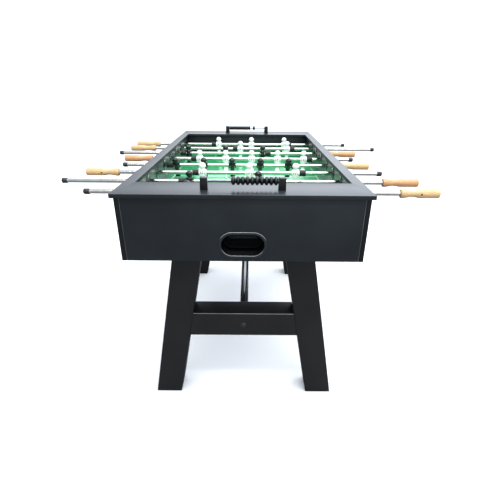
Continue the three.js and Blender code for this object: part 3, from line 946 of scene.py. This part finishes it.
def makeMan():
    p = man
    sections = p["legs"] + p["trunk"]
    z, halfX, halfY = sections[0]
    figure = startBlock("man", (-halfX * mm, -halfY * mm, (z - 1) * mm),
                        (halfX * mm, halfY * mm, z * mm))
    editParts(figure, "FACE", lambda face: face.normal.z > 0.9)
    for (lastZ, lastX, lastY), (z, halfX, halfY) in zip(sections, sections[1:]):
        bpy.ops.mesh.extrude_region_move(TRANSFORM_OT_translate={"value": (0, 0, (z - lastZ) * mm)})
        bpy.ops.transform.resize(value=(halfX / lastX, halfY / lastY, 1),
                                 center_override=(0, 0, z * mm))
    leaveEdit()
    modify(figure, "SUBSURF", levels=2, render_levels=2)
    parts = [figure]
    # Arms that hang from the shoulders, with the forearms turned a little forward.
    for sign in (-1, 1):
        arm = startBlock("arm", (sign * 12.2 * mm - 3.4 * mm, -4.4 * mm, 8 * mm),
                         (sign * 12.2 * mm + 3.4 * mm, 4.4 * mm, 16.4 * mm))
        editParts(arm, "FACE", lambda face: face.normal.z < -0.9)
        for rise, forward, size in ((-12, 0.6, 0.94), (-6, 1.8, 0.92), (-7, 2.6, 0.86)):
            bpy.ops.mesh.extrude_region_move(
                TRANSFORM_OT_translate={"value": (sign * 0.25 * mm, forward * mm, rise * mm)})
            bpy.ops.transform.resize(value=(size, size, 1), center_override=(sign * 12.4 * mm, 0, 0))
        leaveEdit()
        parts.append(modify(arm, "SUBSURF", levels=2, render_levels=2))
        # Flat-faced ring round the rod where a bumper meets the man.
        ring = startRound(p["hub"], p["ring"], (sign * (p["halfWidth"] - p["ring"] / 2), 0, 0),
                          sides=40)
        parts.append(roundEdges(ring, 0.8 * mm))
    # A foot block with bevelled edges, then the head, hair, nose, ears, brow, mouth and chin.
    halfX, halfY, height = p["foot"]
    foot = startBlock("foot", (-halfX, -halfY, p["sole"]), (halfX, halfY, p["sole"] + height))
    editParts(foot, "VERT", lambda vertex: vertex.co.z > p["sole"] + mm)
    bpy.ops.transform.resize(value=(0.94, 0.66, 1), center_override=(0, 0, 0))
    leaveEdit()
    parts.append(roundEdges(foot, 2.6 * mm, 4))
    for place, size in (
        ((0, 0, 0), (1, 1, 1)), ((0, -0.16, 0.2), (1.02, 0.96, 0.86)),
        ((0, 0.94, -0.08), (0.17, 0.24, 0.2)), ((-0.98, 0, -0.08), (0.13, 0.22, 0.26)),
        ((0.98, 0, -0.08), (0.13, 0.22, 0.26)), ((0, 0.8, 0.2), (0.62, 0.2, 0.1)),
        ((0, 0.78, -0.5), (0.3, 0.2, 0.1)), ((0, 0.62, -0.76), (0.34, 0.26, 0.2)),
    ):
        bpy.ops.object.select_all(action="DESELECT")
        middle = Vector([at * radius for at, radius in zip(place, p["head"])])
        bpy.ops.mesh.primitive_uv_sphere_add(
            segments=32, ring_count=20, radius=1, location=middle + Vector((0, 0, p["headMiddle"])),
            scale=[part * radius for part, radius in zip(size, p["head"])])
        parts.append(applyPlace(bpy.context.object))
    figure = joined(parts[::-1])
    # One moulding: the parts melt together, and the seams between them are softened.
    modify(figure, "REMESH", mode="VOXEL", voxel_size=p["skin"])
    modify(figure, "SMOOTH", factor=0.5, iterations=3)
    modify(figure, "DECIMATE", ratio=p["keep"])
    cutWith(figure, startRound(p["bore"], 4 * p["halfWidth"]))
    return smoothShade(figure, 50)


manShape = makeMan()
print("man modelled", len(manShape.data.polygons), "faces")


# Rods: each tube with its bumpers, cap, grip and men, placed by the frame's boxes.

rodLooks = {
    "lean": {"black_midfield": 30},
    "heartwood": ("black_defence", "white_midfield", "black_attack"),
    "gripRoll": {"black_defence": 100, "black_midfield": 150, "white_midfield": 200,
                 "black_attack": 130, "white_defence": 170, "white_goalie": 110},
}


def makeRod(name):
    p = rodSet
    low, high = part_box(name + "_rod")
    gripLow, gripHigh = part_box(name + "_handle")
    side = 1 if gripLow.x > 0 else -1
    y, z = rodPlace[name].y, rodZ
    shaft, team = name + "_shaft", name + "_team"
    capMouth = (low.x + p["capLength"]) if side > 0 else (high.x - p["capLength"])
    tubeEnds = sorted([capMouth - side * (p["capLength"] - p["capEnd"] - 0.1 * mm),
                       high.x if side > 0 else low.x])
    r, wall = p["radius"], p["wall"]
    tube = startTurned(name + "_tube", [
        (r - wall, tubeEnds[0]), (r - 0.4 * mm, tubeEnds[0]), (r, tubeEnds[0] + 0.4 * mm),
        (r, tubeEnds[1] - 0.4 * mm), (r - 0.4 * mm, tubeEnds[1]), (r - wall, tubeEnds[1]),
    ], 32)
    moveMesh(tube, shift((0, y, z)))
    fit(smoothShade(tube), chromePlate, "rod_chrome", shaft, name + "_rod")
    facing = Matrix.Identity(4) if side > 0 else halfTurn
    fit(copyOf(capShape, name + "_cap", shift((capMouth, y, z)) @ facing), blackRubber,
        "black_plastic", shaft)

    # A grip whose screw hole doesn't face the front is rolled about its rod.
    roll = math.radians(rodLooks["gripRoll"].get(name, 0))
    if side < 0:
        roll += math.pi
    collar = gripLow.x if side > 0 else gripHigh.x
    turned = shift((collar, y, z)) @ facing @ Matrix.Rotation(roll, 4, "X")
    wood = heartMaple if name in rodLooks["heartwood"] else maple
    fit(copyOf(gripShape, name + "_grip", turned), wood, "handle_wood", team, name + "_handle")
    sunk = turned @ shift((grip["screwAt"], -grip["body"] + grip["holeDepth"], 0))
    fit(copyOf(gripScrewShape, name + "_grip_screw", sunk), boltSteel, "painted_steel", team)

    if name.startswith("black"):
        plastic, slotName, face = blackAbs, "man_black", Matrix.Identity(4)
    else:
        plastic, slotName, face = whiteAbs, "man_white", halfTurn
    lean = Matrix.Rotation(math.radians(rodLooks["lean"].get(name, 0)), 4, "X")
    nodes = sorted(node for node in frame["nodes"] if node.startswith(name + "_man_"))
    for number, node in enumerate(nodes, 1):
        manLow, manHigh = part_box(node)
        at = shift(((manLow.x + manHigh.x) / 2, y, z)) @ lean
        fit(copyOf(manShape, f"{name}_player_{number}", at @ face), plastic, slotName, team, node)
        fit(copyOf(manScrewShape, f"{name}_player_screw_{number}",
                   at @ shift((0, man["screwAt"], 0))), boltSteel, "painted_steel", team)
    for end, x, turn in (("left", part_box(nodes[0])[0].x - seat, halfTurn),
                         ("right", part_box(nodes[-1])[1].x + seat, Matrix.Identity(4))):
        fit(copyOf(bumperShape, f"{name}_bumper_{end}", shift((x, y, z)) @ turn), blackRubber,
            "black_plastic", shaft)


for rodName in rodNames:
    makeRod(rodName)
for shape in (bumperShape, capShape, gripShape, gripScrewShape, manScrewShape, manShape):
    bpy.data.objects.remove(shape)
print("rods made")


# Score counters: two posts, a wire and ten crested beads at each end.

counter = {
    "post": (23 * mm, 20 * mm, 37 * mm), "postX": 116.5 * mm, "postRound": 3.2 * mm, "wire": 3 * mm,
    "bead": 13 * mm, "beadEnd": 7.6 * mm, "beadHalf": 6.9 * mm, "bore": 3.9 * mm,
}


def makePost():
    p = counter
    width, depth, height = p["post"]
    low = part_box("score_stand_front")[0]
    y = low.y + depth / 2
    post = startBlock("score_post", (p["postX"] - width / 2, y - depth / 2, low.z),
                      (p["postX"] + width / 2, y + depth / 2, low.z + height))
    editParts(post, "VERT", lambda vertex: vertex.co.z > low.z + height / 2)
    bpy.ops.transform.resize(value=(0.94, 0.94, 1), center_override=(p["postX"], y, 0))
    leaveEdit()
    bevelEdges(post, p["postRound"], 5,
               lambda edge: all(v.co.z > low.z + height / 2 for v in edge.verts))
    roundEdges(post, 1.2 * mm, 3, 40)
    return smoothShade(post, 40)


def makeCounters():
    p = counter
    post = makePost()
    r, half, bore = p["bead"], p["beadHalf"], p["bore"]
    bead = startTurned("bead", [
        (bore, -half), (p["beadEnd"] - 0.9 * mm, -half), (p["beadEnd"], -half + 0.7 * mm),
        (r - 1.2 * mm, -3.3 * mm), (r - 0.4 * mm, -2.4 * mm), (r, -1.3 * mm), (r, 1.3 * mm),
        (r - 0.4 * mm, 2.4 * mm), (r - 1.2 * mm, 3.3 * mm), (p["beadEnd"], half - 0.7 * mm),
        (p["beadEnd"] - 0.9 * mm, half), (bore, half),
    ], 32)
    smoothShade(bead, 40)
    mirror = Matrix.Scale(-1, 4, (1, 0, 0))
    for end, turn in (("front", Matrix.Identity(4)), ("back", halfTurn)):
        low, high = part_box("score_stand_" + end)
        y = (low.y + high.y) / 2
        z = sum(corner.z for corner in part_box("score_bead_" + end)) / 2
        right = fit(copyOf(post, f"score_post_{end}_right", turn), blackAbs, "black_plastic",
                    "cabinet", "score_stand_" + end)
        fit(copyOf(post, f"score_post_{end}_left", turn @ mirror), blackAbs, "black_plastic")
        reach = p["postX"] - p["post"][0] / 2 + 3 * mm
        wire = startTurned("score_wire_" + end, [
            (0, -reach), (p["wire"], -reach), (p["wire"], reach), (0, reach)], 20)
        moveMesh(wire, shift((0, y, z)))
        fit(smoothShade(wire), zincPlate, "painted_steel")
        for group, node, count in ((f"{end}_bead_stack", "score_beads_" + end, 9),
                                   (f"{end}_single_bead", "score_bead_" + end, 1)):
            beadLow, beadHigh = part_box(node)
            pitch = (beadHigh.x - beadLow.x) / count
            for number in range(count):
                x = beadLow.x + (number + 0.5) * pitch
                nodes = [node] if number == 0 else []
                fit(copyOf(bead, f"{group}_{number + 1}", shift((x, y, z))), blackAbs,
                    "black_plastic", group, *nodes)
    bpy.data.objects.remove(post)
    bpy.data.objects.remove(bead)


makeCounters()
print("score counters made")


# Studio: a pale floor under a white sky that is brightest behind and to the right, with a
# dimmer horizon. Straight to the eye, the floor and the surroundings are plain and pale.

studio = {
    "floorSeen": "ffffff", "floorLit": "7f8183",
    "backdrop": 1.1, "tint": (0.95, 1.02, 1.11, 1),
    "horizon": (0.25, 0.8), "overhead": (1.15, 1.95), "glow": (0.1, 0.7), "rise": (0.1, 0.26),
    "softbox": 68, "striplight": 40,
    "cameraAt": (0.0202, -1.7230, 1.1912), "tilt": 65.19, "pan": -0.11, "roll": 0.46,
    "lens": 26.745,
}


def makeFloor():
    bpy.ops.object.select_all(action="DESELECT")
    bpy.ops.mesh.primitive_plane_add(size=60, location=(0, 0, 0))
    floor = bpy.context.object
    floor.name = "studio_floor"
    material, shader, place = startMaterial("matt_pale_paint", Roughness=0.85)
    seen = addNode(material, "LightPath").outputs["Is Camera Ray"]
    paint = addNode(material, "Mix", {
        0: seen, 6: hexColour(studio["floorLit"]), 7: hexColour(studio["floorSeen"]),
    }, data_type="RGBA")
    feed(material, shader, {"Base Color": paint.outputs[2]})
    floor.data.materials.append(material)


def makeSky():
    world = bpy.data.worlds.new("white_studio")
    world.use_nodes = True
    towards = addNode(world, "TexCoord").outputs["Generated"]
    axes = addNode(world, "SeparateXYZ", {0: towards}).outputs
    toRight = addNode(world, "MapRange", {0: axes["X"], 1: -0.3, 2: 0.0})
    rise = addNode(world, "MapRange", {0: axes["Z"], 1: studio["rise"][0], 2: studio["rise"][1]},
                   interpolation_type="SMOOTHSTEP")
    behind = addNode(world, "MapRange", {0: axes["Y"], 1: 0.6, 2: 0.92},
                     interpolation_type="SMOOTHSTEP")
    horizon, overhead, glow = (addNode(world, "MapRange", {0: toRight, 3: left, 4: right})
                               for left, right in (studio["horizon"], studio["overhead"],
                                                   studio["glow"]))
    above = addNode(world, "Math", {0: glow, 1: behind, 2: overhead}, operation="MULTIPLY_ADD")
    sky = addNode(world, "Mix", {0: rise, 2: horizon, 3: above})
    seen = addNode(world, "LightPath").outputs["Is Camera Ray"]
    feed(world, world.node_tree.nodes["Background"], {
        "Color": studio["tint"],
        "Strength": addNode(world, "Mix", {0: seen, 2: sky, 3: studio["backdrop"]}),
    })
    bpy.context.scene.world = world


def addSoftbox(name, place, aim, size, power):
    light = bpy.data.lights.new(name, "AREA")
    light.shape = "RECTANGLE"
    light.size, light.size_y = size
    light.energy = power
    lamp = bpy.data.objects.new(name, light)
    lamp.location = place
    lamp.rotation_euler = (Vector(aim) - Vector(place)).to_track_quat("-Z", "Y").to_euler()
    lamp.visible_camera = False
    bpy.context.collection.objects.link(lamp)


makeFloor()
makeSky()
addSoftbox("softbox_above", (0.6, 0.2, 3.6), (0, 0, 0.8), (3.4, 3.4), studio["softbox"])
addSoftbox("striplight_in_front", (0, -1.9, 3.5), (0, -0.7, 0.7), (3, 0.35), studio["striplight"])
scene = bpy.context.scene
scene.view_settings.view_transform = "Standard"

camera = bpy.data.objects.new("camera", bpy.data.cameras.new("camera"))
camera.data.sensor_width = 36
camera.data.lens = studio["lens"]
camera.matrix_world = (
    shift(studio["cameraAt"]) @ Matrix.Rotation(math.radians(studio["pan"]), 4, "Z")
    @ Matrix.Rotation(math.radians(studio["tilt"]), 4, "X")
    @ Matrix.Rotation(math.radians(studio["roll"]), 4, "Z")
)
bpy.context.collection.objects.link(camera)
scene.camera = camera
print("studio made")
